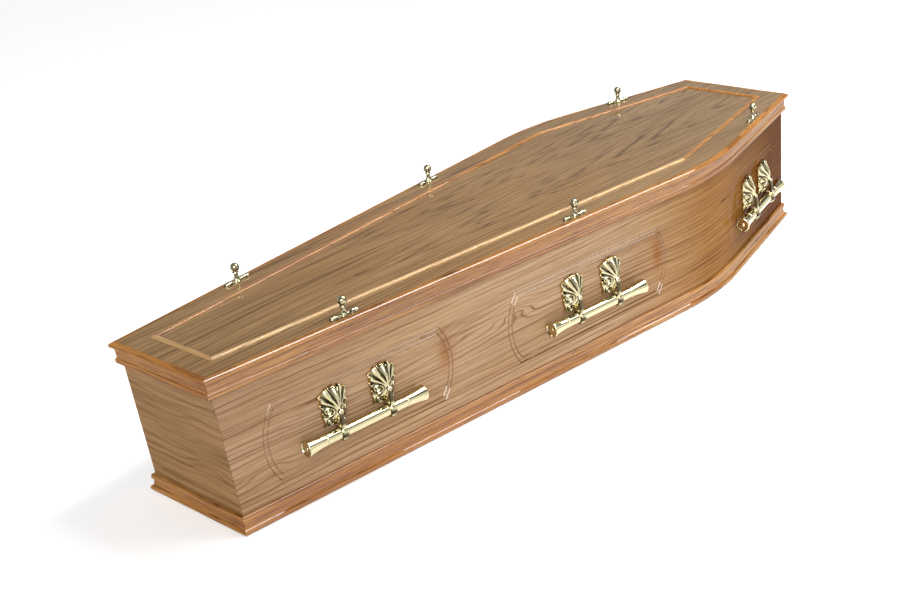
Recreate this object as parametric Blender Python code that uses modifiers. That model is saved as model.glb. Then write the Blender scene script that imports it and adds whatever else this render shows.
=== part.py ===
"""A hexagonal oak-veneered coffin with a lift-off lid, six bar handles and six lid screws.

Metres, +Z up. The foot end is at -X, the head end at +X, left is +Y, and it stands on z = 0.
"""

from math import asin, atan2, cos, pi, sin, tan

import bmesh
import bpy
from mathutils import Matrix, Vector

# Plan of the lid, measured on the nose of its edge moulding
LID_LENGTH = 1.930
LID_FOOT_WIDTH = 0.295
LID_HEAD_WIDTH = 0.322
LID_SHOULDER_WIDTH = 0.584  # where the straight lines of a side would cross
SHOULDER_FROM_FOOT = 1.406
SHOULDER_BEND = 0.120  # bent length of a side on each side of that crossing
BEND_STEPS = 8

# Box and lid
COFFIN_HEIGHT = 0.341  # to the lid's face
FOOT_LEAN = 0.0283  # outward travel of the foot end over the coffin's height
HEAD_SETBACK = 0.0045  # of the box's head end, beyond the lid's even overhang
BOARD_THICKNESS = 0.016  # sides and ends
BASE_THICKNESS = 0.018
LID_THICKNESS = 0.018
LID_OVERHANG = 0.014  # nose of the lid beyond the sides
LID_CLEARANCE = 0.001  # between the hanging lid moulding and the sides
GAP = 0.0003  # between pieces that touch

# Mouldings, from their flat end: a nose, a cove and a small bead
LID_MOULDING_HEIGHT = 0.045
BASE_MOULDING_HEIGHT = 0.038
BASE_MOULDING_DEPTH = 0.013
NOSE_ROUND = 0.0075  # depth of the nose's rounding
NOSE_DROP = 0.006  # from the flat end to the tip of the nose
NOSE_HEIGHT = 0.012
GROOVE_DEPTH = 0.0085  # from the tip of the nose back to the groove
BEAD_HEIGHT = 0.013
BEAD_STANDS = 0.0028  # of the small bead beyond the groove

# Bead planted on the lid
LID_BEAD_MARGIN = 0.0606  # from the nose to the bead's outer line, at the foot and the head
LID_BEAD_SHOULDER_MARGIN = 0.067  # from the lid's shoulder in to the bead's
LID_BEAD_SHOULDER_BACK = 0.040  # from the lid's shoulder towards the foot
LID_BEAD_WIDTH = 0.012
LID_BEAD_HEIGHT = 0.0045
LID_BEAD_STEPS = 5

# Routed double lines round each handle: middle and length, along a side from the middle of its bend
PANELS = {"foot": (-1.069, 0.470), "middle": (-0.426, 0.500), "head": (0.280, 0.358)}
PANEL_BOTTOM = 0.070
PANEL_TOP = 0.235
PANEL_BOW = 0.028  # of its rounded ends
PANEL_LINE_SPACING = 0.0105
PANEL_END_STEPS = 7
ROUTED_WIDTH = 0.0026
ROUTED_DEPTH = 0.0013

# Handles, placed along a side from the middle of its bend, towards the head
HANDLE_PLACES = {"foot": -1.080, "middle": -0.425, "head": 0.285}
HANDLE_HEIGHT = 0.1235
BAR_LENGTH = 0.294
BAR_RADIUS = 0.0118
BAR_OUT = 0.0205  # from the side's face to the bar's axis
BAR_END_RADIUS = 0.0175
BAR_END_ROUND = 0.0020  # length of the rounding at its end
BAR_END_FACE = 0.8  # of the end radius, left flat
BAR_FLARE = 0.046
BAR_FLARE_BELLY = 0.35  # of the flare's rise, reached half way along it
BAR_RING = 0.0012
BAR_SIDES = 12
PLATE_SPACING = 0.120
LEAF_WIDTH = 0.065
LEAF_TAPER = 0.80  # of its width, at its lower end
LEAF_HEIGHT = 0.082
LEAF_FOOT = 0.0145  # from the bar's axis up to the leaf's lower end
LEAF_ARCH = 0.013  # rise of its upper end from the corners to the middle
LEAF_EDGE = 0.005
LEAF_CROWN = 0.020
LEAF_CROWN_FALL = 1.2  # power of the crown's fall from the middle to the sides
LEAF_END_CROWN = 0.25  # of the crown, left at the leaf's lower and upper ends
LEAF_RIB = 0.0016
LEAF_LOBE = 0.0026
LEAF_COLUMNS = 8
LEAF_ROWS = 6
COLLAR_WIDTH = 0.012
COLLAR_WALL = 0.0042
ARM_WIDTH = 0.0105
ARM_TAPER = 0.9  # of its width, at the collar
ARM_ROOT = 0.052  # height on the leaf, above the bar's axis
ARM_SIDES = 6

# Lid screws, from the foot end
SCREW_PLACES = {
    "left": {"foot": 0.328, "middle": 0.967, "head": 1.676},
    "right": {"foot": 0.330, "middle": 0.955, "head": 1.704},
}
SCREW_INSET = 0.0215  # from the nose of the lid
SCREW_HEIGHT = 0.041
SCREW_BALL = 0.0190
SCREW_BALL_SWEEP = 0.85  # of the half turn from the ball's top to its bottom
SCREW_COLLAR = 0.0130
SCREW_COLLAR_DROP = 0.0005  # below the ball
SCREW_NECK = 0.0090
SCREW_NECK_DROP = 0.0033  # below the ball
SCREW_FOOT = 0.0150
SCREW_FOOT_HEIGHT = 0.0060
SCREW_SIDES = 8
WING_SPAN = 0.072
WING_WIDTH = 0.011
WING_HEIGHT = 0.0075
WING_TOP_WIDTH = 0.7  # of the width below it
# A wing from its tip inwards: shares of half the span, of the width and of the height
WING_LOBES = ((1.0, 0.45, 0.5), (0.86, 1.0, 0.9), (0.62, 0.72, 0.62), (0.25, 0.9, 0.8))

# Colour, roughness and metallic value of each finish
FINISHES = {
    "oak_veneer": ((0.42, 0.26, 0.14, 1.0), 0.25, 0.0),
    "solid_oak": ((0.50, 0.26, 0.10, 1.0), 0.25, 0.0),
    "brass": ((0.78, 0.66, 0.34, 1.0), 0.12, 1.0),
}
SIDES = {"left": 1, "right": -1}

FOOT = Vector((-LID_LENGTH / 2, LID_FOOT_WIDTH / 2))
SHOULDER = Vector((SHOULDER_FROM_FOOT - LID_LENGTH / 2, LID_SHOULDER_WIDTH / 2))
HEAD = Vector((LID_LENGTH / 2, LID_HEAD_WIDTH / 2))
LEG = (SHOULDER - FOOT).normalized()
UPPER = (HEAD - SHOULDER).normalized()
WALL_TOP = COFFIN_HEIGHT - LID_THICKNESS - GAP
LID_EDGE_INSET = LID_OVERHANG - LID_CLEARANCE
BOX_ENDS = (FOOT_LEAN / COFFIN_HEIGHT, HEAD_SETBACK)
LID_ENDS = (0, 0)


def outward(direction):
    """The way out of the coffin across a line of its left side that runs towards the head."""
    return Vector((-direction.y, direction.x))


TURN = LEG.angle(UPPER)
BISECTOR = (outward(LEG) + outward(UPPER)).normalized()
BEND_RADIUS = SHOULDER_BEND / tan(TURN / 2)
BEND_CENTRE = SHOULDER - BISECTOR * (LID_OVERHANG + BEND_RADIUS) / cos(TURN / 2)


def spread(first, last, steps):
    """Numbers from first to last in this many equal steps."""
    return [first + (last - first) * i / steps for i in range(steps + 1)]


def half_plan(inset, foot_x, head_x):
    """The left half's outline from foot to head, this far inside the nose of the lid."""
    radius = BEND_RADIUS + LID_OVERHANG - inset
    first = atan2(outward(LEG).y, outward(LEG).x)
    bend = [
        BEND_CENTRE + radius * Vector((cos(a), sin(a)))
        for a in spread(first, first - TURN, BEND_STEPS)
    ]
    foot = bend[0] + LEG * (foot_x - bend[0].x) / LEG.x
    head = bend[-1] + UPPER * (head_x - bend[-1].x) / UPPER.x
    return [foot, *bend, head]


def end_planes(inset, z, ends):
    """X of the foot and head ends at this height, this far inside the nose of the lid."""
    lean, setback = ends
    return -LID_LENGTH / 2 + inset + lean * (COFFIN_HEIGHT - z), LID_LENGTH / 2 - inset - setback


def finish(name):
    """The material of this name, made on first use."""
    if name in bpy.data.materials:
        return bpy.data.materials[name]
    colour, roughness, metallic = FINISHES[name]
    material = bpy.data.materials.new(name)
    material.use_nodes = True
    shader = material.node_tree.nodes["Principled BSDF"]
    shader.inputs["Base Color"].default_value = colour
    shader.inputs["Roughness"].default_value = roughness
    shader.inputs["Metallic"].default_value = metallic
    material.diffuse_color = colour
    return material


def collection(name):
    """A collection of this name in the scene."""
    made = bpy.data.collections.new(name)
    bpy.context.scene.collection.children.link(made)
    return made


def place(name, mesh, into, finish_name=None, matrix=None):
    """An object of this mesh in a collection, with a finish and a place of its own."""
    piece = bpy.data.objects.new(name, mesh)
    into.objects.link(piece)
    if matrix is not None:
        piece.matrix_world = matrix
    if finish_name and not mesh.materials:
        mesh.materials.append(finish(finish_name))
    return piece


def mesh_of(name, shape):
    """A mesh from a bmesh, with its faces turned outwards."""
    bmesh.ops.recalc_face_normals(shape, faces=shape.faces)
    mesh = bpy.data.meshes.new(name)
    shape.to_mesh(mesh)
    shape.free()
    return mesh


def skin(shape, stations, closed=False):
    """Faces from each closed ring of points to the next, capped at both ends or closed on itself."""
    rings = [[shape.verts.new(point) for point in ring] for ring in stations]
    pairs = list(zip(rings, rings[1:]))
    if closed:
        pairs.append((rings[-1], rings[0]))
    for near, far in pairs:
        for i in range(len(near)):
            shape.faces.new((near[i - 1], near[i], far[i], far[i - 1]))
    if not closed:
        shape.faces.new(reversed(rings[0]))
        shape.faces.new(rings[-1])


def loft(name, stations, closed=False):
    """A closed mesh through rings of points."""
    shape = bmesh.new()
    skin(shape, stations, closed)
    return mesh_of(name, shape)


def smooth(mesh, degrees):
    mesh.shade_smooth()
    mesh.set_sharp_from_angle(angle=degrees * pi / 180)


def baked(piece):
    """The object's mesh with its modifiers applied, and the object removed."""
    graph = bpy.context.evaluated_depsgraph_get()
    mesh = bpy.data.meshes.new_from_object(piece.evaluated_get(graph))
    mesh.name = piece.name
    bpy.data.objects.remove(piece)
    return mesh


def united(name, meshes, into, bore=None):
    """One mesh from several closed ones that overlap, less a bore where there is one."""
    first, *others = [place(f"{name}_{i}", mesh, into) for i, mesh in enumerate(meshes)]
    steps = [(other, "UNION") for other in others]
    if bore:
        others.append(place(f"{name}_bore", bore, into))
        steps.append((others[-1], "DIFFERENCE"))
    for other, operation in steps:
        step = first.modifiers.new(operation.title(), "BOOLEAN")
        step.operation = operation
        step.object = other
    mesh = baked(first)
    mesh.name = name
    for other in others:
        bpy.data.objects.remove(other)
    return mesh


def turned(name, profile, sides, into):
    """A mesh turned round Z from a profile of (radius, z), listed top to bottom."""
    shape = bmesh.new()
    points = [shape.verts.new((radius, 0, z)) for radius, z in profile]
    for near, far in zip(points, points[1:]):
        shape.edges.new((near, far))
    mesh = bpy.data.meshes.new(name)
    shape.to_mesh(mesh)
    shape.free()
    piece = place(name, mesh, into)
    screw = piece.modifiers.new("Screw", "SCREW")
    screw.steps = screw.render_steps = sides
    screw.use_merge_vertices = True
    screw.merge_threshold = 0.00001
    return baked(piece)


def moulding_section(back_inset, flat_z, up, height, depth):
    """The (inset, z) loop of a moulding. It runs up or down from its flat end at flat_z."""
    nose_centre = depth - NOSE_ROUND
    groove = depth - GROOVE_DEPTH
    under = NOSE_HEIGHT - NOSE_DROP
    points = [(0, 0), (nose_centre, 0)]
    for a in spread(pi / 3, 0, 2):
        points.append((nose_centre + NOSE_ROUND * cos(a), NOSE_DROP - NOSE_DROP * sin(a)))
    for a in spread(pi / 4, pi / 2, 1):
        points.append((nose_centre + NOSE_ROUND * cos(a), NOSE_DROP + under * sin(a)))
    bead_start = height - BEAD_HEIGHT
    for a in spread(pi / 6, pi / 2, 2):
        out = groove + (nose_centre - groove) * (1 - sin(a))
        points.append((out, bead_start - (bead_start - NOSE_HEIGHT) * cos(a)))
    for a in spread(pi / 5, pi * 4 / 5, 3):
        bead_out = groove + BEAD_STANDS * sin(a)
        points.append((bead_out, bead_start + BEAD_HEIGHT * (1 - cos(a)) / 2))
    points += [(groove / 2, height), (0, height)]
    return [(back_inset - out, flat_z + up * rise) for out, rise in points]


def side_strip(section, side, ends):
    """Rings of a piece that follows a whole side, mitred at both ends."""
    runs = []
    for inset, z in section:
        foot_x, head_x = end_planes(inset, z, ends)
        runs.append(half_plan(inset, foot_x + GAP, head_x - GAP))
    return [
        [(run[i].x, side * run[i].y, z) for run, (_, z) in zip(runs, section)]
        for i in range(len(runs[0]))
    ]


def end_strip(section, at_foot, ends):
    """Rings of a piece that follows the foot or the head end, mitred at both ends."""
    corners = []
    for inset, z in section:
        run = half_plan(inset, *end_planes(inset, z, ends))
        corner = run[0] if at_foot else run[-1]
        corners.append((corner.x, corner.y - GAP, z))
    return [[(x, side * y, z) for x, y, z in corners] for side in SIDES.values()]


def level_loop(inset, z, ends):
    """The whole outline at one height, once round."""
    left = half_plan(inset, *end_planes(inset, z, ends))
    return [(p.x, p.y, z) for p in left] + [(p.x, -p.y, z) for p in reversed(left)]


def frame_round(prefix, section, ends, finish_name, into):
    """Four mitred strips of one section round the coffin."""
    for name, side in SIDES.items():
        mesh = loft(f"{prefix}_{name}", side_strip(section, side, ends))
        smooth(mesh, 35)
        place(mesh.name, mesh, into, finish_name)
    for name, at_foot in (("foot", True), ("head", False)):
        mesh = loft(f"{prefix}_{name}", end_strip(section, at_foot, ends))
        smooth(mesh, 35)
        place(mesh.name, mesh, into, finish_name)


def face_point(along, side):
    """(point, outward normal) on a side's face, this far past the middle of its bend."""
    half_arc = BEND_RADIUS * TURN / 2
    on_arc = max(-half_arc, min(half_arc, along))
    first = atan2(BISECTOR.y, BISECTOR.x)
    angle = first - on_arc / BEND_RADIUS
    normal = Vector((cos(angle), sin(angle)))
    tangent = Vector((normal.y, -normal.x))
    point = BEND_CENTRE + normal * BEND_RADIUS + tangent * (along - on_arc)
    return Vector((point.x, side * point.y, 0)), Vector((normal.x, side * normal.y, 0))


def panel_line(middle, length, inside):
    """(along, z) points once round a routed line, this far inside the outermost one."""
    bottom, top = PANEL_BOTTOM + inside, PANEL_TOP - inside
    half_height = (top - bottom) / 2
    corner = length / 2 - PANEL_BOW
    radius = ((PANEL_TOP - PANEL_BOTTOM) ** 2 / 4 + PANEL_BOW**2) / (2 * PANEL_BOW) - inside
    reach = asin(half_height / radius)
    centre = corner + PANEL_BOW - inside - radius
    points = []
    for end in (1, -1):
        for a in spread(-reach, reach, PANEL_END_STEPS):
            across = end * (centre + radius * cos(a))
            points.append(Vector((middle + across, bottom + half_height + end * radius * sin(a))))
    return points


def routed_rings(points, side):
    """Rings of a V-shaped cutter that follows (along, z) points once round on a side's face."""
    lift = ROUTED_DEPTH
    rings = []
    for i, here in enumerate(points):
        before = (here - points[i - 1]).normalized()
        after = (points[(i + 1) % len(points)] - here).normalized()
        mitre = outward(before) + outward(after)
        across = mitre * (ROUTED_WIDTH / 2) * 2 / mitre.length_squared
        ring = []
        for share, out in ((-2, lift), (2, lift), (0, -ROUTED_DEPTH)):
            at = here + across * share
            point, normal = face_point(at.x, side)
            ring.append(point + normal * out + Vector((0, 0, at.y)))
        rings.append(ring)
    return rings


def routing_cutter(name, side, into):
    """Every routed line of one side, as one cutter."""
    shape = bmesh.new()
    for middle, length in PANELS.values():
        for inside in (0, PANEL_LINE_SPACING):
            skin(shape, routed_rings(panel_line(middle, length, inside), side), closed=True)
    cutter = place(name, mesh_of(name, shape), into)
    cutter.hide_render = True
    cutter.display_type = "WIRE"
    return cutter


def build_box(parts, cutters):
    """Base, sides and ends, with the moulding round their foot."""
    outer, inner = LID_OVERHANG, LID_OVERHANG + BOARD_THICKNESS
    walls = [(outer, 0), (outer, WALL_TOP), (inner, WALL_TOP), (inner, 0)]
    for name, side in SIDES.items():
        mesh = loft(f"side_board_{name}", side_strip(walls, side, BOX_ENDS))
        board = place(mesh.name, mesh, parts, "oak_veneer")
        cut = board.modifiers.new("Routed lines", "BOOLEAN")
        cut.operation = "DIFFERENCE"
        cut.object = routing_cutter(f"routed_lines_{name}", side, cutters)
    for name, at_foot in (("foot", True), ("head", False)):
        mesh = loft(f"{name}_end_board", end_strip(walls, at_foot, BOX_ENDS))
        place(mesh.name, mesh, parts, "oak_veneer")
    loops = [level_loop(inner + GAP, z, BOX_ENDS) for z in (0, BASE_THICKNESS)]
    place("base_board", loft("base_board", loops), parts, "oak_veneer")
    section = moulding_section(outer - GAP, 0, 1, BASE_MOULDING_HEIGHT, BASE_MOULDING_DEPTH)
    frame_round("base_moulding", section, BOX_ENDS, "solid_oak", parts)


def lid_bead_corners(inset):
    """The six corners of a line this far inside the lid bead's outer line, once round."""
    ends = half_plan(LID_BEAD_MARGIN, *end_planes(LID_BEAD_MARGIN, 0, LID_ENDS))
    shoulder = SHOULDER - Vector((LID_BEAD_SHOULDER_BACK, LID_BEAD_SHOULDER_MARGIN))
    left = [ends[0], shoulder, ends[-1]]
    corners = left + [Vector((p.x, -p.y)) for p in reversed(left)]
    moved = []
    for i, here in enumerate(corners):
        before = (here - corners[i - 1]).normalized()
        after = (corners[(i + 1) % len(corners)] - here).normalized()
        mitre = outward(before) + outward(after)
        moved.append(here - mitre * inset * 2 / mitre.length_squared)
    return moved


def build_lid_bead(parts):
    """Six mitred strips of a low half-round bead on the lid."""
    names = ("leg_left", "shoulder_left", "head", "shoulder_right", "leg_right", "foot")
    half = LID_BEAD_WIDTH / 2
    floor = COFFIN_HEIGHT + GAP
    section = [
        (half + half * cos(a), floor + LID_BEAD_HEIGHT * sin(a))
        for a in spread(0, pi, LID_BEAD_STEPS)
    ]
    loops = [lid_bead_corners(inset) for inset, _ in section]
    for i, name in enumerate(names):
        far = (i + 1) % len(names)
        rings = [[], []]
        for loop, (_, z) in zip(loops, section):
            run = (loop[far] - loop[i]).normalized() * GAP
            rings[0].append((*(loop[i] + run), z))
            rings[1].append((*(loop[far] - run), z))
        mesh = loft(f"lid_bead_{name}", rings)
        smooth(mesh, 50)
        place(mesh.name, mesh, parts, "solid_oak")


def build_lid(parts):
    """The lid's board, its edge moulding and the bead planted on it."""
    loops = [
        level_loop(LID_EDGE_INSET + GAP, z, LID_ENDS)
        for z in (COFFIN_HEIGHT - LID_THICKNESS, COFFIN_HEIGHT)
    ]
    place("lid_board", loft("lid_board", loops), parts, "oak_veneer")
    section = moulding_section(
        LID_EDGE_INSET, COFFIN_HEIGHT, -1, LID_MOULDING_HEIGHT, LID_EDGE_INSET
    )
    frame_round("lid_moulding", section, LID_ENDS, "solid_oak", parts)
    build_lid_bead(parts)


def bar_mesh(into):
    """A round bar with flared, ringed ends, lying along X."""
    half = BAR_LENGTH / 2
    flare = half - BAR_FLARE
    belly = BAR_RADIUS + (BAR_END_RADIUS - BAR_RADIUS) * BAR_FLARE_BELLY
    end = [
        (0, half),
        (BAR_END_RADIUS * BAR_END_FACE, half),
        (BAR_END_RADIUS, half - BAR_END_ROUND),
        (belly, half - BAR_FLARE / 2),
        (BAR_RADIUS + BAR_RING, flare),
        (BAR_RADIUS, flare - 2 * BAR_RING),
    ]
    profile = end + [(radius, -z) for radius, z in reversed(end)]
    mesh = turned("handle_bar", profile, BAR_SIDES, into)
    mesh.transform(Matrix.Rotation(pi / 2, 4, "Y"))
    smooth(mesh, 40)
    return mesh


def leaf_point(across, up):
    """(x, out, z) on a leaf's face, from across -1 to 1 and up 0 to 1."""
    lobe = cos(4 * pi * across)
    half_width = LEAF_WIDTH / 2 * (LEAF_TAPER + (1 - LEAF_TAPER) * up) + LEAF_LOBE / 2 * cos(6 * pi * up)
    dome = LEAF_CROWN * (1 - abs(across)) ** LEAF_CROWN_FALL
    dome *= LEAF_END_CROWN + (1 - LEAF_END_CROWN) * sin(pi * up)
    rib = LEAF_RIB * (1 + lobe) / 2
    height = LEAF_FOOT + LEAF_HEIGHT * up + up * (LEAF_LOBE * (lobe - 1) / 2 - LEAF_ARCH * across**2)
    return Vector((across * half_width, LEAF_EDGE + dome + rib, height))


def leaf_mesh():
    """A fluted leaf with a lobed edge and a flat back, its face towards +Y."""
    shape = bmesh.new()
    columns = spread(-1, 1, LEAF_COLUMNS)
    rows = spread(0, 1, LEAF_ROWS)
    grid = [[shape.verts.new(leaf_point(u, v)) for u in columns] for v in rows]
    for low, high in zip(grid, grid[1:]):
        for i in range(LEAF_COLUMNS):
            shape.faces.new((low[i], low[i + 1], high[i + 1], high[i]))
    rim = grid[0][:-1] + [row[-1] for row in grid[:-1]]
    rim += grid[-1][:0:-1] + [row[0] for row in reversed(grid[1:])]
    back = [shape.verts.new((v.co.x, GAP, v.co.z)) for v in rim]
    for i in range(len(rim)):
        shape.faces.new((rim[i - 1], rim[i], back[i], back[i - 1]))
    shape.faces.new(reversed(back))
    return mesh_of("leaf", shape)


def round_bar(name, profile):
    """A closed mesh round the bar's axis from a profile of (radius, x), its flats in line with the bar's."""
    angles = spread(0, 2 * pi, BAR_SIDES)[:-1]
    return loft(name, [[(x, BAR_OUT + r * sin(a), r * cos(a)) for a in angles] for r, x in profile])


def arm_mesh():
    """The arm from the leaf down to the collar."""
    start = Vector((0, LEAF_EDGE + LEAF_CROWN - ARM_WIDTH / 4, ARM_ROOT))
    end = Vector((0, BAR_OUT + BAR_RADIUS / 2, BAR_RADIUS))
    run = end - start
    shape = bmesh.new()
    bmesh.ops.create_cone(
        shape,
        segments=ARM_SIDES,
        cap_ends=True,
        radius1=ARM_WIDTH / 2,
        radius2=ARM_WIDTH / 2 * ARM_TAPER,
        depth=run.length,
        matrix=Matrix.Translation((start + end) / 2) @ run.to_track_quat("Z", "X").to_matrix().to_4x4(),
    )
    return mesh_of("arm", shape)


def build_handles(parts, helpers):
    """Three handles on each side: a bar through the collars of two leaf plates."""
    bar = bar_mesh(helpers)
    bore = BAR_RADIUS + GAP
    outer = bore + COLLAR_WALL
    collar = round_bar("collar", ((outer, -COLLAR_WIDTH / 2), (outer, COLLAR_WIDTH / 2)))
    bore = round_bar("bore", ((bore, -COLLAR_WIDTH), (bore, COLLAR_WIDTH)))
    plate = united("handle_plate", [leaf_mesh(), arm_mesh(), collar], helpers, bore)
    smooth(plate, 40)
    for side_name, side in SIDES.items():
        for place_name, along in HANDLE_PLACES.items():
            point, normal = face_point(along, side)
            upright = Vector((0, 0, 1))
            across = normal.cross(upright)
            axes = Matrix((across, normal, upright)).transposed().to_4x4()
            at = Matrix.Translation(point + upright * HANDLE_HEIGHT) @ axes
            name = f"{side_name}_{place_name}"
            bar_at = at @ Matrix.Translation((0, BAR_OUT, 0))
            place(f"handle_bar_{name}", bar, parts, "brass", bar_at)
            for number, share in ((1, -side / 2), (2, side / 2)):
                plate_at = at @ Matrix.Translation((-share * PLATE_SPACING, 0, 0))
                place(f"handle_plate_{name}_{number}", plate, parts, "brass", plate_at)


def wing_mesh():
    """The two-winged foot of a lid screw, lobed at its ends, along X."""
    stations = []
    lobes = [(-out, width, height) for out, width, height in WING_LOBES] + list(reversed(WING_LOBES))
    for out, width, height in lobes:
        x, wide, tall = out * WING_SPAN / 2, width * WING_WIDTH / 2, height * WING_HEIGHT
        top = wide * WING_TOP_WIDTH
        stations.append([(x, -wide, 0), (x, -top, tall), (x, top, tall), (x, wide, 0)])
    return loft("wings", stations)


def build_lid_screws(parts, helpers):
    """Six screws with a ball finial on a collared stem and a winged foot, down both edges of the lid."""
    ball_radius = SCREW_BALL / 2
    ball_z = SCREW_HEIGHT - ball_radius
    ball_foot = SCREW_HEIGHT - SCREW_BALL
    sweep = spread(0, pi * SCREW_BALL_SWEEP, 5)
    profile = [(ball_radius * sin(a), ball_z + ball_radius * cos(a)) for a in sweep]
    profile += [
        (SCREW_COLLAR / 2, ball_foot - SCREW_COLLAR_DROP),
        (SCREW_NECK / 2, ball_foot - SCREW_NECK_DROP),
        (SCREW_FOOT / 2, SCREW_FOOT_HEIGHT),
        (SCREW_FOOT / 2, 0),
        (0, 0),
    ]
    finial = turned("finial", profile, SCREW_SIDES, helpers)
    mesh = united("lid_screw", [wing_mesh(), finial], helpers)
    smooth(mesh, 40)
    for side_name, side in SIDES.items():
        for place_name, from_foot in SCREW_PLACES[side_name].items():
            x = from_foot - LID_LENGTH / 2
            line = UPPER if x > SHOULDER.x else LEG
            start = SHOULDER - outward(line) * SCREW_INSET
            y = start.y + line.y / line.x * (x - start.x)
            turn = Matrix.Rotation(side * atan2(line.y, line.x), 4, "Z")
            at = Matrix.Translation((x, side * y, COFFIN_HEIGHT + GAP)) @ turn
            place(f"lid_screw_{side_name}_{place_name}", mesh, parts, "brass", at)


def main():
    for piece in list(bpy.data.objects):
        bpy.data.objects.remove(piece)
    parts = collection("coffin")
    cutters = collection("cutters")
    build_box(parts, cutters)
    build_lid(parts)
    build_handles(parts, cutters)
    build_lid_screws(parts, cutters)


main()
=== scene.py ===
"""The looks of a lacquered oak coffin with polished brass fittings, in metres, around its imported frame."""

from itertools import product
from math import atan2, cos, pi, radians, sin, sqrt, tan

import bmesh
import bpy
from mathutils import Matrix, Vector


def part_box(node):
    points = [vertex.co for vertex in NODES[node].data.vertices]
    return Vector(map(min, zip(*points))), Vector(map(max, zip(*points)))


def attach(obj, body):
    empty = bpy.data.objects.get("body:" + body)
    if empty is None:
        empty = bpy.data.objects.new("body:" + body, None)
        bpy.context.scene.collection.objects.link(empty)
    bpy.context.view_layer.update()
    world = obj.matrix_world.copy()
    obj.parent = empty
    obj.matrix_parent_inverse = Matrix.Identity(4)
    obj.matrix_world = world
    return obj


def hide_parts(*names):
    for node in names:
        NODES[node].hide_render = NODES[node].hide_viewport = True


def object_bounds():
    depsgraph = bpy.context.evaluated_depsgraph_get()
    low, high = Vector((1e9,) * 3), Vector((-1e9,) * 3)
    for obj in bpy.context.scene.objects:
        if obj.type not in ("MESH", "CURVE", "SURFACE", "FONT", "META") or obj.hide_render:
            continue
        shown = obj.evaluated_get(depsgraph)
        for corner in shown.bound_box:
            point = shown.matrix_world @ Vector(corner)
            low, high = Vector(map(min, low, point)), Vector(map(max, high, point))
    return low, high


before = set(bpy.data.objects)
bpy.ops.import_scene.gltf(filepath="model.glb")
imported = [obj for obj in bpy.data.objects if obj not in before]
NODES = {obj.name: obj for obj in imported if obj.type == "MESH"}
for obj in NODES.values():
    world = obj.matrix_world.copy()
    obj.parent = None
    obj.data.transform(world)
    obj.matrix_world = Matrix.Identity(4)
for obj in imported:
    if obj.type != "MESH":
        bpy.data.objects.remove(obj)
cad_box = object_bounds()

# Camera, fitted to the photograph: degrees, metres, and its focal length for a picture 900 wide
CAMERA_AZIMUTH = -44.6539
CAMERA_ELEVATION = 23.9087
CAMERA_ROLL = -5.9169
CAMERA_DISTANCE = 3.1177
CAMERA_TARGET = Vector((-0.2515, -0.0614, 0.2))
FOCAL_PIXELS = 1445.1078
PICTURE_WIDTH = 900
SENSOR_WIDTH = 36.0

# Plan of a side, from the lid's nose line: where its two straight runs would cross, and its bend there
SHOULDER_FROM_FOOT = 1.406
SHOULDER_WIDTH = 0.584
SHOULDER_BEND = 0.120
BEND_STEPS = 28

# Sections of the mouldings and the lid bead
LID_OVERHANG = 0.014
LID_EDGE = 0.013  # depth of the lid's moulding
BASE_EDGE = 0.013
FOOT_LEAN = 0.0283  # of the foot end over the coffin's height
HEAD_SETBACK = 0.0045
MITRE_GAP = 0.0003
NOSE_REACH = 0.0057
NOSE_DROP = 0.006
NOSE_HEIGHT = 0.012
NOSE_TURN = ((5, 25.5, 1.2), (25.5, 33, 3.4), (33, 60, 2.0), (60, 90, 2.6))  # tilt from, tilt to, length
TURN_STEPS = 5
GROOVE_DEPTH = 0.0085
COVE_STEPS = 9
BEAD_TURN = ((20, 40, 0.4), (40, 46.5, 2.4), (46.5, 75, 0.8), (75, 90, 4.2))
BEAD_HEIGHT = 0.013
BEAD_STANDS = 0.0028
BACK_ROUND = 0.0002
BACK_ROUND_FROM = 0.8  # of the way from the moulding's back out to its groove
BACK_ROUND_TO = 0.6
LID_BEAD_MARGIN = 0.0606
LID_BEAD_SHOULDER_MARGIN = 0.067
LID_BEAD_SHOULDER_BACK = 0.040
LID_BEAD_WIDTH = 0.012
LID_BEAD_HEIGHT = 0.0045
LID_BEAD_STEPS = 18
ROUTED_DEPTHS = (0.0002, 0.0020)  # of the middles of a routed line's faces
ROUTED_BEND_STEPS = 8  # of the side board's bend, as in the frame

# Handle bars
BAR_RADIUS = 0.0118
BAR_END_RADIUS = 0.0172
BAR_FLARE = 0.046
BAR_SIDES = 56
AXIS_RADIUS = 0.0002  # of the small flat that closes a turned form
RING_LEAD = 0.0005
RING_WIDTH = 0.0030
RING_HEIGHT = 0.0012
FLARE_GAP = 0.0015  # between the ring and the flare
FLARE_STEP = 0.0004
FLARE_CURVE = 1.6
END_ROUND = 0.0020
END_ROUND_IN = 0.0018
DISC_RIM = 0.0030
DISC_SLOPE = 0.0008
DISC_RECESS = 0.0016
BOSS_RADIUS = 0.0052
BOSS_FOOT = 0.0006

# Leaves of the handle plates
LEAF_WIDTH = 0.065
LEAF_TAPER = 0.80
LEAF_HEIGHT = 0.082
LEAF_FOOT = 0.0145
LEAF_ARCH = 0.013
LEAF_EDGE = 0.005
LEAF_CROWN = 0.020
LEAF_CROWN_FALL = 1.2
LEAF_END_CROWN = 0.25
LEAF_LOBE = 0.0026
LEAF_COLUMNS = 84
LEAF_ROWS = 100
LEAF_BACK = 0.0003
LEAF_ROLL = 0.0022
LEAF_ROLL_WIDTH = 0.05  # of the leaf's half width or height
LEAF_THINNEST = 0.6  # of its edge's thickness
NODE_HEIGHT = 0.036  # on the leaf, where its flutes meet
FLUTE_ANGLE = radians(26)
FLUTE_DEPTH = 0.0050
FLUTE_LEVEL = 0.55  # of a flute's wave, which lies level with the leaf
FLUTE_START = (0.003, 0.024)  # from the node, over which the flutes deepen
FLUTE_SIDE = (radians(75), radians(110))  # from upright, over which they fade
FLUTE_SIDE_FADE = 0.75
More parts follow.
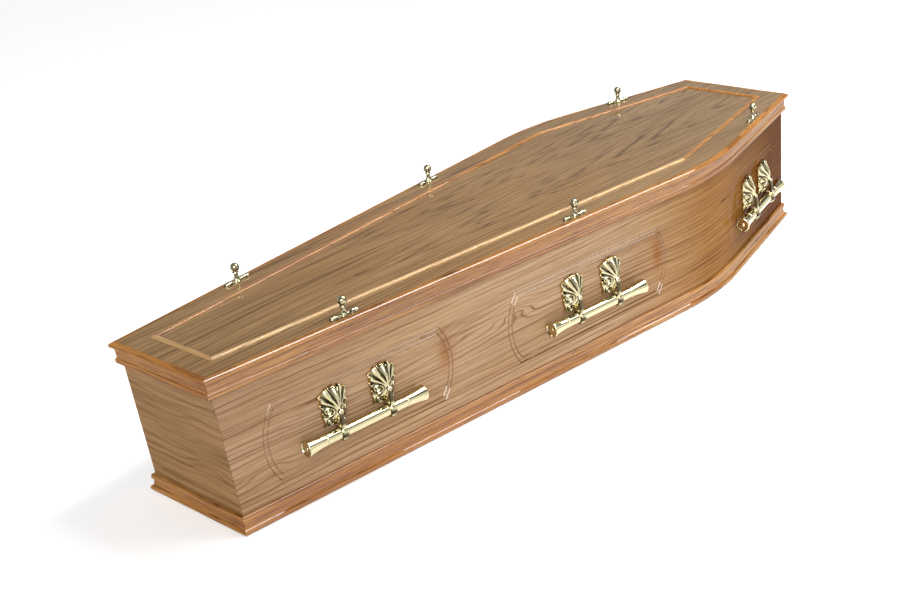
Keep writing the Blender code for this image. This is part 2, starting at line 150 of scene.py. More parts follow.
SCROLLS = ((0.0185, 0.0340, 0.0115), (0.0165, 0.0095, 0.0080))  # across, up, radius
SCROLL_PITCH = 0.52  # as the next three, of the scroll's radius
SCROLL_EYE = (0.18, 0.36)
SCROLL_START = (0.25, 0.5)
SCROLL_EDGE = (0.8, 1.15)
SCROLL_RISE = 0.0030
SCROLL_SINK = 0.0006

# Arms and collars of the handle plates
ARM_WIDTH = 0.0100
ARM_DEPTH = 0.85  # of its width
ARM_SINK = 0.001
ARM_RISE = 0.002
ARM_BOW = 0.0020
ARM_KNOT = 0.22  # of the arm's length
ARM_KNOT_SWELL = 0.32
ARM_CAP = 0.10
ARM_WAIST = 0.22
ARM_SPREAD = 0.35
ARM_STEPS = 26
ARM_SIDES = 24
COLLAR_WIDTH = 0.0132
COLLAR_RADIUS = 0.0168
COLLAR_LIP = 0.0012
COLLAR_CURVE = 0.7
COLLAR_INSIDE = 0.6  # of the bar's radius

# Lid screws
SCREW_SIDES = 40
BALL_RADIUS = 0.0095
BALL_ARC = (0.02, pi * 0.84)  # from its top
SCREW_NECK = ((0.0052, 0.0092), (0.0066, 0.0098), (0.0070, 0.0106), (0.0062, 0.0114), (0.0046, 0.0122))
STEM_DROP = 0.0128  # as the neck's depths, from the ball's centre
STEM_FOOT = 0.0032
STEM_RADIUS = 0.0043
STEM_FLARE = 0.0036
SCREW_FOOT = ((0.0088, 0.0026), (0.0092, 0.0016), (0.0088, 0.0))  # radius, height
WING_START = 0.0040
WING_WIDTH = 0.0125
WING_HEIGHT = 0.0078
WING_SCALLOPS = 7
WING_SCALLOP = 0.10
WING_STEPS = 36
WING_ARC_STEPS = 14

# Finish colours, linear
VENEER_LIGHT = (0.304, 0.204, 0.119)
VENEER_WARM = (0.281, 0.166, 0.083)
VENEER_DARK = (0.130, 0.059, 0.023)
END_LIGHT = (0.238, 0.140, 0.066)
END_WARM = (0.202, 0.109, 0.043)
END_DARK = (0.090, 0.040, 0.012)
LID_LIGHT = (0.246, 0.150, 0.067)
LID_WARM = (0.214, 0.117, 0.045)
LID_DARK = (0.092, 0.048, 0.019)
LID_HEAD_TINT = (0.80, 0.86, 0.95)
MOULDING_LIGHT = (0.320, 0.160, 0.048)
MOULDING_WARM = (0.250, 0.100, 0.022)
MOULDING_DARK = (0.110, 0.038, 0.009)
# A lighter copy of the bead's oak, for the bead runs that face the light: painted highlight
LIT_BEAD_LIGHT = (0.440, 0.285, 0.130)
LIT_BEAD_WARM = (0.400, 0.235, 0.090)
LIT_BEAD_DARK = (0.200, 0.105, 0.034)
SHOULDER_TINT = (0.70, 0.52, 0.24)
# Darker towards the head of the sides: partly warmer veneer, partly painted shade where the light falls off
SIDE_HEAD_TONE_AND_SHADE = (0.43, 0.275, 0.01)
FOOT_TINT = (0.91, 0.89, 0.91)
PATCH_TINT = (0.82, 0.60, 0.42)
ROUTED_TINT = (0.62, 0.46, 0.34)
BRASS = (0.58, 0.55, 0.365)
# deep colour of the brass's random clouds, and the painted reflection of the wood round a leaf's edge
BRASS_DEEP_AND_WOOD_REFLECTION = (0.46, 0.31, 0.12)
# tarnish of mottled castings, and the painted dark reflection in a leaf's hollows, on its arm and below its
# collar's top
BRASS_TARNISH_AND_DARK_REFLECTION = (0.030, 0.024, 0.009)
BRASS_CLOUD = 0.45  # most of the deep colour in the clear one
BRASS_HOLLOW_DARK_REFLECTION = 0.95  # most of the painted dark reflection in a leaf's hollows and on its arm
BRASS_EDGE_REFLECTION = 0.8  # most of the deep colour round a leaf's edge, a painted reflection of the wood
FLOOR_WHITE = (0.95, 0.95, 0.95)

# Arched figure of the lid's veneer: across, of each leaf's middle, and the arches' height along the board
CATHEDRALS = (-0.055, 0.095)
CATHEDRAL_START = 1.0
CATHEDRAL_HEIGHT = 0.100
CATHEDRAL_FALL = 0.021

# Shades over a growth ring and over the finer lines in it: (place, darkness)
RING_SHADES = ((0.0, 0.85), (0.06, 0.45), (0.16, 0.14), (0.36, 0.03), (-0.26, 0.02), (-0.10, 0.35))
INNER_SHADES = ((0.0, 0.7), (0.2, 0.1), (0.8, 0.0), (1.0, 0.7))
INNER_RINGS = 2.7
INNER_SHARE = 0.45

# Spots of the boards: (along, up, half length, half height), and a knot's lift or a stain's colour
SIDE_KNOTS = (
    ((-0.455, 0.215, 0.060, 0.020), 0.022),
    ((-0.205, 0.190, 0.050, 0.025), -0.024),
    ((-0.640, 0.180, 0.200, 0.030), 0.018),
    ((-0.860, 0.110, 0.060, 0.022), -0.020),
    ((0.350, 0.130, 0.120, 0.020), 0.012),
)
SIDE_STAINS = (((-0.408, 0.180, 0.018, 0.040), PATCH_TINT), ((0.236, 0.175, 0.016, 0.045), PATCH_TINT))
END_KNOTS = (((0.030, 0.220, 0.050, 0.030), 0.022), ((-0.060, 0.120, 0.060, 0.030), -0.022))

# Changes of colour along the boards: (tint, from, to)
# The head's tint is partly painted shade, where the light falls off along the head run
SIDE_TINTS = ((SHOULDER_TINT, 0.10, 0.42), (SIDE_HEAD_TONE_AND_SHADE, 0.50, 0.84), (FOOT_TINT, -0.55, -0.90))
LID_TINTS = ((LID_HEAD_TINT, -0.2, 0.6),)
ROUTED_TINTS = ((ROUTED_TINT, -3.0, -2.0),)

# Distance between growth rings
SIDE_RING = 0.0110
END_RING = 0.0170
LID_RING = 0.0085
STRIP_RING = 0.0070
BEAD_RING = 0.0120

# Weight and IOR of each clear coat
FULL_COAT = (1.0, 1.5)
BOARD_COAT = (0.08, 2.0)
LONG_STRIP_COAT = (0.3, 2.2)
CROSS_STRIP_COAT = (0.3, 1.6)

# Lights: energy, size, place and target. The room's bands are (height of the direction, brightness)
KEY_ENERGY = 3.75
KEY_ANGLE = radians(35)
KEY_PLACE = (-3.3, -2.75, 2.55)
STRIPS = {
    "strip": (60, (2.7, 0.34), (1.08, -0.43, 2.15), (1.09, -0.33, 0.34)),
    "front_strip": (36, (2.9, 0.36), (1.20, -1.42, 2.15), (1.22, -1.22, 0.34)),
}
ROOM_BEHIND = ((0.0, 0.8), (0.15, 0.5), (0.28, 0.30), (0.43, 0.14), (0.55, 0.3), (0.7, 0.5), (1.0, 0.5))
ROOM_BEFORE = (
    (0.0, 1.0), (0.05, 1.0), (0.07, 0.10), (0.11, 0.10), (0.13, 1.7), (0.29, 1.7),
    (0.33, 0.55), (0.60, 0.45), (0.63, 0.05), (1.0, 0.05)
)
ROOM_TURN = -5.0  # how fast the one gives way to the other across the coffin
FLOOR_SIZE = 60
FLOOR_DROP = 0.0005
FLOOR_ROUGHNESS = 0.8


def add(tree, kind, inputs=(), **settings):
    """A node with these settings, and with values or links on its inputs."""
    made = tree.nodes.new(kind)
    for name, value in settings.items():
        setattr(made, name, value)
    for name, value in dict(inputs).items():
        if isinstance(value, bpy.types.NodeSocket):
            tree.links.new(value, made.inputs[name])
        else:
            made.inputs[name].default_value = value
    return made


def calc(tree, operation, *values, clamp=False):
    """The result of a Math node."""
    made = add(tree, "ShaderNodeMath", enumerate(values), operation=operation, use_clamp=clamp)
    return made.outputs[0]


def noise(tree, vector, scale, detail=2.0, roughness=0.5):
    """A Noise texture's value at a vector."""
    inputs = {"Vector": vector, "Scale": scale, "Detail": detail, "Roughness": roughness}
    return add(tree, "ShaderNodeTexNoise", inputs).outputs["Fac"]


def mixed(tree, share, first, second, blend="MIX"):
    """Two colours mixed."""
    made = add(tree, "ShaderNodeMix", data_type="RGBA", blend_type=blend)
    for socket, value in ((made.inputs[0], share), (made.inputs[6], first), (made.inputs[7], second)):
        if isinstance(value, bpy.types.NodeSocket):
            tree.links.new(value, socket)
        elif isinstance(value, tuple):
            socket.default_value = (*value, 1.0)
        else:
            socket.default_value = value
    return made.outputs[2]


def ramp(tree, value, *stops):
    """A smooth grey ramp through (position, brightness) stops."""
    made = add(tree, "ShaderNodeValToRGB", {"Fac": value})
    elements = made.color_ramp.elements
    while len(elements) < len(stops):
        elements.new(0.5)
    for element, (position, brightness) in zip(elements, stops):
        element.position = position
        element.color = (brightness, brightness, brightness, 1.0)
    return made.outputs["Color"]


def new_material(name):
    """(material, node tree, Principled shader)."""
    material = bpy.data.materials.new(name)
    material.use_nodes = True
    tree = material.node_tree
    return material, tree, tree.nodes["Principled BSDF"]


def lacquer(shader, coat):
    """A clear gloss coat of this weight and IOR, over wood that has no gloss of its own."""
    weight, ior = coat
    shader.inputs["Specular IOR Level"].default_value = 0.0
    shader.inputs["Coat Weight"].default_value = weight
    shader.inputs["Coat Roughness"].default_value = 0.03
    shader.inputs["Coat IOR"].default_value = ior


def fall(tree, along, side, spot):
    """1 in the middle of a spot on the board, falling smoothly to 0 round it."""
    middle_along, middle_side, half_along, half_side = spot
    u = calc(tree, "DIVIDE", calc(tree, "SUBTRACT", along, middle_along), half_along)
    v = calc(tree, "DIVIDE", calc(tree, "SUBTRACT", side, middle_side), half_side)
    squares = calc(tree, "MULTIPLY_ADD", u, u, calc(tree, "MULTIPLY", v, v))
    return calc(tree, "EXPONENT", calc(tree, "MULTIPLY", squares, -1.0))


def oak(
    name, colours, axes, ring, seed=0.0, swing=0.02, ripple=0.0025, crease=(0.0, 0.0), taper=0.0,
    swirls=(), tints=(), patches=(), width=1.0, depth=1.0, coat=FULL_COAT, cathedrals=(), pores=0.16
):
    """Lacquered oak, with rings this far apart.

    axes name the board's length, width and thickness. swing and ripple move the rings sideways, slowly
    and quickly along them. crease is (depth, from along) of V shapes in them, which taper opens one way.
    swirls are (spot, lift) knots, and cathedrals the middles of arched leaves. tints are (colour, from, to)
    along the board, and patches are (spot, colour). width and depth are of the rings' dark lines.
    """
    light, dark, warm = colours
    material, tree, shader = new_material(name)
    place = add(tree, "ShaderNodeTexCoord").outputs["Object"]
    split = add(tree, "ShaderNodeSeparateXYZ", {0: place}).outputs
    along, side, through = (split[axis] for axis in axes)

    def plane(stretch_along, stretch_across, offset=0.0):
        x = calc(tree, "MULTIPLY", along, stretch_along)
        y = calc(tree, "MULTIPLY", side, stretch_across)
        z = calc(tree, "MULTIPLY_ADD", through, 3.0, seed + offset)
        return add(tree, "ShaderNodeCombineXYZ", {0: x, 1: y, 2: z}).outputs[0]

    def between(value, low, high):
        return calc(tree, "DIVIDE", calc(tree, "SUBTRACT", value, low), high - low, clamp=True)

    # Growth rings
    slow = calc(tree, "MULTIPLY_ADD", noise(tree, plane(1.3, 3.5), 1.0, 1.0), swing * 2, -swing)
    quick = calc(tree, "MULTIPLY_ADD", noise(tree, plane(11.0, 26.0, 3.0), 1.0, 2.0), ripple * 2, -ripple)
    field = calc(tree, "ADD", calc(tree, "ADD", side, slow), quick)
    crease_depth, crease_from = crease
    if crease_depth:
        wave = noise(tree, plane(1.5, 9.0, 5.0), 1.0, 0.0)
        fold = calc(tree, "ABSOLUTE", calc(tree, "SUBTRACT", wave, 0.5))
        share = calc(tree, "MULTIPLY", between(along, crease_from, crease_from + 0.6), crease_depth)
        field = calc(tree, "MULTIPLY_ADD", fold, share, field)
    if taper:
        field = calc(tree, "MULTIPLY_ADD", along, -taper, field)
    if cathedrals:
        reach = calc(tree, "POWER", calc(tree, "ADD", along, CATHEDRAL_START), 2.0)
        height = calc(tree, "MULTIPLY_ADD", reach, -CATHEDRAL_FALL, CATHEDRAL_HEIGHT)
        height = calc(tree, "MULTIPLY", height, height)
        arches = []
        for centre in cathedrals:
            aside = calc(tree, "SUBTRACT", field, centre)
            arches.append(calc(tree, "SQRT", calc(tree, "MULTIPLY_ADD", aside, aside, height)))
        field = calc(tree, "MINIMUM", *arches)
    for spot, lift in swirls:
        field = calc(tree, "MULTIPLY_ADD", fall(tree, along, side, spot), lift, field)
    uneven = calc(tree, "MULTIPLY_ADD", noise(tree, plane(0.7, 0.45 / ring, 41.0), 1.0, 1.0), 2.2, -1.1)
    rings = calc(tree, "ADD", calc(tree, "DIVIDE", field, ring), uneven)
    phase = calc(tree, "FRACT", rings)
    late = ramp(tree, phase, *((at * width % 1.0, shade) for at, shade in RING_SHADES), (1.0, 1.0))
    chance = add(tree, "ShaderNodeTexWhiteNoise", {"W": calc(tree, "FLOOR", rings)}, noise_dimensions="1D")
    on_ring = add(tree, "ShaderNodeCombineXYZ", {0: calc(tree, "MULTIPLY", along, 3.0), 1: rings, 2: seed})
    fade = noise(tree, on_ring.outputs[0], 1.0, 1.0)
    weight = calc(tree, "MULTIPLY_ADD", calc(tree, "POWER", chance.outputs["Value"], 2.0), 1.05, 0.12)
    weight = calc(tree, "MULTIPLY", weight, calc(tree, "MULTIPLY_ADD", fade, 1.7, 0.05))
    lines = calc(tree, "MULTIPLY", late, weight)
    inner = ramp(tree, calc(tree, "FRACT", calc(tree, "MULTIPLY", rings, INNER_RINGS)), *INNER_SHADES)
    inner = calc(tree, "MULTIPLY", inner, calc(tree, "MULTIPLY", fade, INNER_SHARE))

    # Pores, short dark dashes along the grain, and streaks finer still
    dashes = ramp(tree, noise(tree, plane(12.0, 380.0, 17.0), 1.0, 2.0, 0.6), (0.38, 1.0), (0.50, 0.0))
    streaks = noise(tree, plane(3.5, 110.0, 23.0), 1.0, 4.0, 0.65)
    figure = calc(tree, "MULTIPLY_ADD", lines, depth * 1.3, calc(tree, "MULTIPLY", inner, depth))
    figure = calc(tree, "MULTIPLY_ADD", dashes, pores, figure)
    figure = calc(tree, "ADD", figure, calc(tree, "MULTIPLY_ADD", streaks, 1.7, -0.68), clamp=True)

    # Broad changes of tone down and across the leaf of veneer
    tone = ramp(tree, noise(tree, plane(1.6, 5.0, 31.0), 1.0, 3.0), (0.35, 0.0), (0.68, 1.0))
    wood = mixed(tree, figure, mixed(tree, tone, light, warm), dark)
    for colour, low, high in tints:
        wood = mixed(tree, between(along, low, high), wood, mixed(tree, 1.0, wood, colour, "MULTIPLY"))
    for spot, colour in patches:
        wood = mixed(tree, fall(tree, along, side, spot), wood, mixed(tree, 1.0, wood, colour, "MULTIPLY"))
    tree.links.new(wood, shader.inputs["Base Color"])
    tree.links.new(calc(tree, "MULTIPLY_ADD", figure, 0.2, 0.40), shader.inputs["Roughness"])
    lift = add(tree, "ShaderNodeBump", {"Strength": 0.05, "Distance": 0.0005, "Height": figure}, invert=True)
    tree.links.new(lift.outputs[0], shader.inputs["Normal"])
    lacquer(shader, coat)
    return material


def flute_shade(tree, x, z):
    """How much painted dark reflection lies in the hollow between two flutes of a leaf."""
    rise = calc(tree, "SUBTRACT", z, LEAF_FOOT + NODE_HEIGHT)
    angle = calc(tree, "ABSOLUTE", calc(tree, "ARCTAN2", x, rise))
    away = calc(tree, "SQRT", calc(tree, "MULTIPLY_ADD", rise, rise, calc(tree, "POWER", x, 2.0)))
    wave = calc(tree, "COSINE", calc(tree, "MULTIPLY", angle, pi / FLUTE_ANGLE))
    hollow = ramp(tree, calc(tree, "ABSOLUTE", wave), (0.45, 1.0), (0.88, 0.0))
    fan = ramp(tree, calc(tree, "DIVIDE", angle, 2.0), (0.62, 1.0), (0.85, 0.50))
    reach = ramp(tree, calc(tree, "MULTIPLY", away, 30.0), (0.12, 0.0), (0.45, 1.0), (0.95, 0.8))
    return calc(tree, "MULTIPLY", calc(tree, "MULTIPLY", hollow, fan), reach)


def scroll_shade(tree, x, z, centre_x, centre_z, radius):
    """How much painted dark reflection lies in the trough of a leaf's scroll."""
    aside = calc(tree, "SUBTRACT", calc(tree, "ABSOLUTE", x), centre_x)
    up = calc(tree, "SUBTRACT", z, LEAF_FOOT + centre_z)
    gap = calc(tree, "SQRT", calc(tree, "MULTIPLY_ADD", aside, aside, calc(tree, "MULTIPLY", up, up)))
    turn = calc(tree, "DIVIDE", calc(tree, "ARCTAN2", up, aside), 2 * pi)
    turns = calc(tree, "SUBTRACT", calc(tree, "DIVIDE", gap, radius * SCROLL_PITCH), turn)
    wave = calc(tree, "COSINE", calc(tree, "MULTIPLY", turns, 2 * pi))
    trough = ramp(tree, calc(tree, "MULTIPLY_ADD", wave, -0.5, 0.5), (0.30, 0.0), (0.75, 1.0))
    away = calc(tree, "DIVIDE", gap, radius * 1.3)
    near = ramp(tree, away, (0.20, 0.0), (0.35, 1.0), (0.75, 1.0), (1.0, 0.0))
    return calc(tree, "MULTIPLY", near, trough)


def arm_shade(tree, x, out, z):
    """How much painted dark reflection lies on a plate's arm, and on the band below the bright top of its
    collar.
    """
    height = calc(tree, "MULTIPLY", z, 10.0)
    along = ramp(tree, height, (0.16, 0.0), (0.22, 1.0), (0.42, 1.0), (0.48, 0.0))
    before = ramp(tree, calc(tree, "MULTIPLY", out, 10.0), (0.215, 0.0), (0.225, 1.0))
    aside = calc(tree, "ABSOLUTE", calc(tree, "MULTIPLY", x, 100.0))
    arm = calc(tree, "MULTIPLY", along, before)
    arm = calc(tree, "MULTIPLY", arm, ramp(tree, aside, (0.56, 1.0), (0.70, 0.0)))
    level = calc(tree, "MULTIPLY_ADD", z, 20.0, 0.5)
    band = ramp(tree, level, (0.34, 0.0), (0.40, 1.0), (0.54, 1.0), (0.60, 0.0))
    return calc(tree, "MAXIMUM", calc(tree, "MULTIPLY", arm, BRASS_HOLLOW_DARK_REFLECTION), band)


def brass(name, fluted=False, mottle=0.0):
    """Polished pale brass with faint marks, and painted dark reflection in a leaf's hollows with a painted
    reflection of the wood round its edge, or tarnish in mottled casting.
    """
    material, tree, shader = new_material(name)
    place = add(tree, "ShaderNodeTexCoord").outputs["Object"]
    cloud = noise(tree, place, 60.0, 3.0)
    marks = noise(tree, place, 900.0, 2.0)
    colour = mixed(tree, calc(tree, "MULTIPLY", cloud, BRASS_CLOUD), BRASS, BRASS_DEEP_AND_WOOD_REFLECTION)
    if mottle:
        dull = ramp(tree, noise(tree, place, 210.0, 2.0), (0.46, 0.0), (0.56, 1.0))
        colour = mixed(tree, calc(tree, "MULTIPLY", dull, mottle), colour, BRASS_TARNISH_AND_DARK_REFLECTION)
    if fluted:
        split = add(tree, "ShaderNodeSeparateXYZ", {0: place}).outputs
        x, out, z = (split[axis] for axis in "XYZ")
        # Painted dark reflection in the flutes' hollows, the scrolls' troughs, on the arm and on the band
        # below the collar's top
        share = flute_shade(tree, x, z)
        for scroll in SCROLLS:
            share = calc(tree, "MAXIMUM", share, scroll_shade(tree, x, z, *scroll))
        share = calc(tree, "MAXIMUM", share, arm_shade(tree, x, out, z))
        # Painted reflection of the wood: the deep colour round the leaf's edge, close to the wall
        edge = ramp(tree, calc(tree, "MULTIPLY", out, 100.0), (0.30, 1.0), (0.60, 0.0))
        colour = mixed(tree, calc(tree, "MULTIPLY", share, BRASS_HOLLOW_DARK_REFLECTION), colour, BRASS_TARNISH_AND_DARK_REFLECTION)
        colour = mixed(tree, calc(tree, "MULTIPLY", edge, BRASS_EDGE_REFLECTION), colour, BRASS_DEEP_AND_WOOD_REFLECTION)
    tree.links.new(colour, shader.inputs["Base Color"])
    tree.links.new(calc(tree, "MULTIPLY_ADD", cloud, 0.03, 0.01), shader.inputs["Roughness"])
    lift = add(tree, "ShaderNodeBump", {"Strength": 0.02, "Distance": 0.0002, "Height": marks})
    tree.links.new(lift.outputs[0], shader.inputs["Normal"])
    shader.inputs["Metallic"].default_value = 1.0
    return material


def spread(first, last, steps):
    """Numbers from first to last in this many equal steps."""
    return [first + (last - first) * i / steps for i in range(steps + 1)]


def ease(low, high, value):
    """0 below low, 1 above high, and smooth between them."""
    share = max(0.0, min(1.0, (value - low) / (high - low)))
    return share * share * (3 - 2 * share)


def mesh_of(name, shape, sharp=40):
    """A smooth-shaded mesh from a bmesh, with its faces turned outwards."""
    bmesh.ops.recalc_face_normals(shape, faces=shape.faces)
    mesh = bpy.data.meshes.new(name)
    shape.to_mesh(mesh)
    shape.free()
    mesh.shade_smooth()
    mesh.set_sharp_from_angle(angle=radians(sharp))
    return mesh


def loft(name, rings, sharp=40):
    """A mesh through closed rings of points, capped at both ends."""
    shape = bmesh.new()
    made = [[shape.verts.new(point) for point in ring] for ring in rings]
    for near, far in zip(made, made[1:]):
        for i in range(len(near)):
            shape.faces.new((near[i - 1], near[i], far[i], far[i - 1]))
    shape.faces.new(reversed(made[0]))
    shape.faces.new(made[-1])
    return mesh_of(name, shape, sharp)


def circle(radius, sides):
    """Points (x, y) of a ring round a centre, sides of them."""
    return [(radius * cos(a), radius * sin(a)) for a in spread(0, 2 * pi, sides)[:-1]]


def turned_rings(profile, sides):
    """Rings round Z through (radius, z) pairs."""
    return [[(x, y, z) for x, y in circle(r, sides)] for r, z in profile]


def piece(mesh, material, node, matrix=None):
    """An object that stands for this node of the frame."""
    made = bpy.data.objects.new(f"{node}_fine", mesh)
    bpy.context.scene.collection.objects.link(made)
    if matrix is not None:
        made.matrix_world = matrix
    if not mesh.materials:
        mesh.materials.append(material)
    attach(made, "root")
    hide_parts(node)


def united(name, meshes, bore=None):
    """One closed mesh from several that overlap, less a bore."""
    objects = [bpy.data.objects.new(f"{name}_{i}", mesh) for i, mesh in enumerate(meshes)]
    first, *others = objects
    steps = [(other, "UNION") for other in others]
    if bore:
        objects.append(bpy.data.objects.new(f"{name}_bore", bore))
        steps.append((objects[-1], "DIFFERENCE"))
    for item in objects:
        bpy.context.scene.collection.objects.link(item)
    for other, operation in steps:
        step = first.modifiers.new(operation.title(), "BOOLEAN")
        step.operation = operation
        step.object = other
    graph = bpy.context.evaluated_depsgraph_get()
    mesh = bpy.data.meshes.new_from_object(first.evaluated_get(graph))
    mesh.name = name
    for item in objects:
        bpy.data.objects.remove(item)
    mesh.shade_smooth()
    mesh.set_sharp_from_angle(angle=radians(40))
    return mesh


def outward(direction):
    """The way out of the coffin across a line of its left side that runs towards the head."""
    return Vector((-direction.y, direction.x))


LID_LOW, LID_HIGH = cad_box
LID_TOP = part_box("lid_board")[1].z
FOOT = Vector((LID_LOW.x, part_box("lid_moulding_foot")[1].y))
SHOULDER = Vector((LID_LOW.x + SHOULDER_FROM_FOOT, SHOULDER_WIDTH / 2))
HEAD = Vector((LID_HIGH.x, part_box("lid_moulding_head")[1].y))
LEG = (SHOULDER - FOOT).normalized()
UPPER = (HEAD - SHOULDER).normalized()
TURN = LEG.angle(UPPER)
BEND_RADIUS = SHOULDER_BEND / tan(TURN / 2)
BEND_WAY = (outward(LEG) + outward(UPPER)).normalized()
BEND_CENTRE = SHOULDER - BEND_WAY * (LID_OVERHANG + BEND_RADIUS) / cos(TURN / 2)
SIDES = {"left": 1, "right": -1}
PLACES = ("foot", "middle", "head")
BOX_ENDS = (FOOT_LEAN / LID_TOP, HEAD_SETBACK)
LID_ENDS = (0, 0)


def half_plan(inset, foot_x, head_x, steps=BEND_STEPS):
    """The left half's outline from foot to head, this far inside the nose of the lid."""
    radius = BEND_RADIUS + LID_OVERHANG - inset
    first = atan2(outward(LEG).y, outward(LEG).x)
    bend = [
        BEND_CENTRE + radius * Vector((cos(a), sin(a)))
        for a in spread(first, first - TURN, steps)
    ]
    foot = bend[0] + LEG * (foot_x - bend[0].x) / LEG.x
    head = bend[-1] + UPPER * (head_x - bend[-1].x) / UPPER.x
    return [foot, *bend, head]


def end_planes(inset, z, ends):
    """X of the foot and head ends at this height, this far inside the nose of the lid."""
    lean, setback = ends
    return LID_LOW.x + inset + lean * (LID_TOP - z), LID_HIGH.x - inset - setback


def rounding(turns, out, drop):
    """(out, drop) points of a rounding that tilts as its turns say, from flat on top to upright."""
    points = [(0.0, 0.0)]
    for low, high, length in turns:
        for tilt in spread(radians(low), radians(high), TURN_STEPS)[1:]:
            x, z = points[-1]
            points.append((x + length * cos(tilt), z + length * sin(tilt)))
    far, deep = points[-1]
    return [(x / far * out, z / deep * drop) for x, z in points]


def moulding_section(back_inset, flat_z, up, height, depth):
    """The (inset, z) loop of a moulding, up or down from its flat end: a nose, a cove and a small bead."""
    groove = depth - GROOVE_DEPTH
    bead_start = height - BEAD_HEIGHT
    nose_start = depth - NOSE_REACH
    points = [(0, 0)]
    points += [(nose_start + out, drop) for out, drop in rounding(NOSE_TURN, NOSE_REACH, NOSE_DROP)]
    under = rounding(NOSE_TURN, NOSE_REACH, NOSE_HEIGHT - NOSE_DROP)
    points += [(nose_start + out, NOSE_HEIGHT - drop) for out, drop in reversed(under[:-1])]
    for a in spread(0, pi / 2, COVE_STEPS)[1:]:
        out = groove + (nose_start - groove) * (1 - sin(a))
        points.append((out, bead_start - (bead_start - NOSE_HEIGHT) * cos(a)))
    half = rounding(BEAD_TURN, BEAD_STANDS, BEAD_HEIGHT / 2)
    points += [(groove + out, bead_start + drop) for out, drop in half[1:]]
    points += [(groove + out, height - drop) for out, drop in reversed(half[1:-1])]
    points.append((groove * BACK_ROUND_FROM, height - BACK_ROUND))
    points += [(groove * BACK_ROUND_TO, height), (0, height)]
    return [(back_inset - out, flat_z + up * rise) for out, rise in points]


def side_strip(section, side, ends):
    """Rings of a piece that follows a whole side, mitred at both ends."""
    runs = []
    for inset, z in section:
        foot_x, head_x = end_planes(inset, z, ends)
        runs.append(half_plan(inset, foot_x + MITRE_GAP, head_x - MITRE_GAP))
    return [
        [(run[i].x, side * run[i].y, z) for run, (_, z) in zip(runs, section)]
        for i in range(len(runs[0]))
    ]


def end_strip(section, at_foot, ends):
    """Rings of a piece that follows the foot or the head end, mitred at both ends."""
    corners = []
    for inset, z in section:
        run = half_plan(inset, *end_planes(inset, z, ends))
        corner = run[0] if at_foot else run[-1]
        corners.append((corner.x, corner.y - MITRE_GAP, z))
    return [[(x, side * y, z) for x, y, z in corners] for side in SIDES.values()]


def make_mouldings(long_material, cross_material):
    """The lid's and the base's edge mouldings, in four mitred strips each."""
    lid_height = LID_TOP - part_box("lid_moulding_left")[0].z
    base_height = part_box("base_moulding_left")[1].z
    lid = moulding_section(LID_EDGE, LID_TOP, -1, lid_height, LID_EDGE)
    base = moulding_section(LID_OVERHANG - MITRE_GAP, 0, 1, base_height, BASE_EDGE)
    for prefix, section, ends in (("lid_moulding", lid, LID_ENDS), ("base_moulding", base, BOX_ENDS)):
        for name, side in SIDES.items():
            strip = loft(f"{prefix}_{name}", side_strip(section, side, ends))
            piece(strip, long_material, f"{prefix}_{name}")
        for name, at_foot in (("foot", True), ("head", False)):
            strip = loft(f"{prefix}_{name}", end_strip(section, at_foot, ends))
            piece(strip, cross_material, f"{prefix}_{name}")


def lid_bead_corners(inset):
    """The six corners of a line this far inside the lid bead's outer line, once round."""
    ends = half_plan(LID_BEAD_MARGIN, *end_planes(LID_BEAD_MARGIN, 0, LID_ENDS))
    shoulder = SHOULDER - Vector((LID_BEAD_SHOULDER_BACK, LID_BEAD_SHOULDER_MARGIN))
    left = [ends[0], shoulder, ends[-1]]
    corners = left + [Vector((p.x, -p.y)) for p in reversed(left)]
    moved = []
    for i, here in enumerate(corners):
        before = (here - corners[i - 1]).normalized()
        after = (corners[(i + 1) % len(corners)] - here).normalized()
        mitre = outward(before) + outward(after)
        moved.append(here - mitre * inset * 2 / mitre.length_squared)
    return moved


def make_lid_bead(materials, other_material):
    """Six mitred strips of a low half-round bead on the lid."""
    names = ("leg_left", "shoulder_left", "head", "shoulder_right", "leg_right", "foot")
    half = LID_BEAD_WIDTH / 2
    floor = LID_TOP + MITRE_GAP
    arc = spread(0, pi, LID_BEAD_STEPS)
    section = [(half + half * cos(a), floor + LID_BEAD_HEIGHT * sin(a)) for a in arc]
    loops = [lid_bead_corners(inset) for inset, _ in section]
    for i, name in enumerate(names):
        far = (i + 1) % len(names)
        rings = [[], []]
        for loop, (_, z) in zip(loops, section):
            run = (loop[far] - loop[i]).normalized() * MITRE_GAP
            rings[0].append((*(loop[i] + run), z))
            rings[1].append((*(loop[far] - run), z))
        node = f"lid_bead_{name}"
        piece(loft(node, rings), materials.get(name, other_material), node)


def make_side_boards(material, routed):
    """The side boards, with their routed lines coloured darker."""
    plan = half_plan(LID_OVERHANG, LID_LOW.x, LID_HIGH.x, ROUTED_BEND_STEPS)
    shallow, deep = ROUTED_DEPTHS
    for name in SIDES:
        node = f"side_board_{name}"
        mesh = NODES[node].data.copy()
        mesh.materials.clear()
        mesh.materials.append(material)
        mesh.materials.append(routed)
        for face in mesh.polygons:
            x, y = face.center.x, abs(face.center.y)
            for near, far in zip(plan, plan[1:]):
                if near.x <= x < far.x:
                    run = (far - near).normalized()
                    depth = (near - Vector((x, y))).dot(outward(run))
                    face.material_index = int(shallow < depth < deep)
        piece(mesh, material, node)


